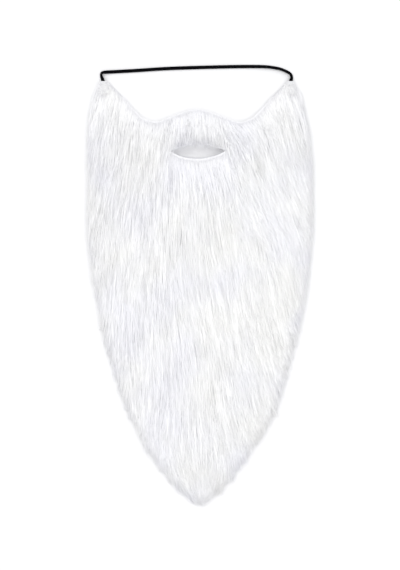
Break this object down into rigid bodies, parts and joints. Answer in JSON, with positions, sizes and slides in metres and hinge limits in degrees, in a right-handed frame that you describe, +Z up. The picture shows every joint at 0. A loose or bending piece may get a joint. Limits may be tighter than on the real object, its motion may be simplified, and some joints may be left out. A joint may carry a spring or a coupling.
{
  "type": "long false beard with elastic strap",
  "caption": "Long white pointed false beard of deep combed pile on a knitted ground cloth, with a mouth slit and a flat elastic from corner to corner.",
  "frame": {"origin": "on the surface it lies on, under the middle of the beard's box without the strap", "axes": "+X to the right as the picture shows it, +Y from the beard's tip up to its top edge, +Z up off the surface, out of the hair"},
  "size_m": [0.2466, 0.484, 0.0151],
  "materials": {
    "ground_cloth": "white knitted cloth, matt",
    "white_pile": "long white combed pile, soft sheen",
    "black_elastic": "black woven elastic, matt",
    "tab_cloth": "white cloth with white stitching, matt"
  },
  "bodies": {
    "root": {"backing_cloth": "ground_cloth", "fur_pile": "white_pile", "elastic_strap": "black_elastic", "corner_tab_left": "tab_cloth", "corner_tab_right": "tab_cloth"}
  },
  "joints": []
}
